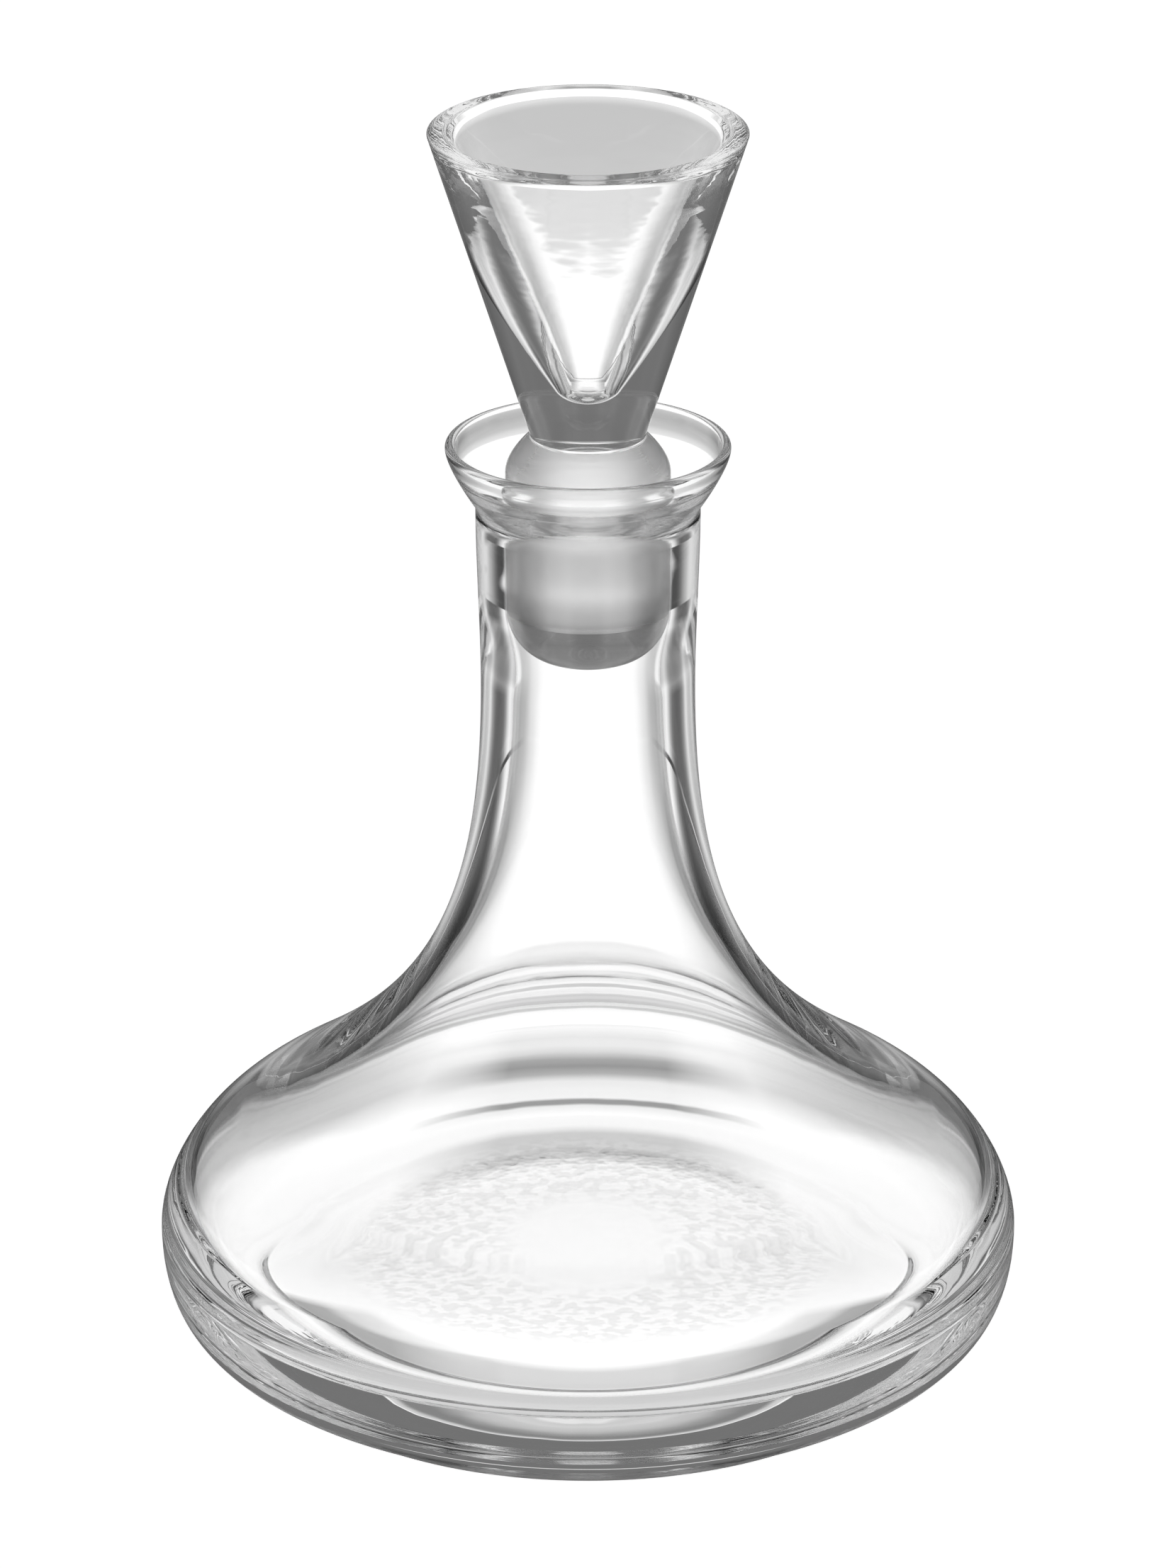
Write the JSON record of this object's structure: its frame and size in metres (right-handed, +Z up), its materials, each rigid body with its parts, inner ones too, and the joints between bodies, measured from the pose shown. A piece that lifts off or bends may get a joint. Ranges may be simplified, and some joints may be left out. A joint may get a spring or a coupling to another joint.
{
  "type": "mouthwash decanter",
  "caption": "Low clear-glass decanter with a heavy base, a slender neck and a flared lip, closed by a ground plug stopper whose top is a cone-shaped dosing cup.",
  "frame": {"origin": "centre of the flat foot ring, on the plane it stands on", "axes": "+Z up along the axis that both pieces are turned about; X and Y are alike, and -Y faces the picture's camera"},
  "size_m": [0.14, 0.14, 0.2085],
  "materials": {
    "clear_glass": "clear and fire-polished; the plug and the inside of the flared mouth are ground to a frosted face"
  },
  "bodies": {
    "decanter": {"decanter_body": "clear_glass"},
    "stopper": {"cup_stopper": "clear_glass"}
  },
  "joints": [
    {"name": "stopper_lift", "type": "slide", "parent": "decanter", "child": "stopper", "axis": [0, 0, 1], "range_m": [0, 0.06]}
  ]
}
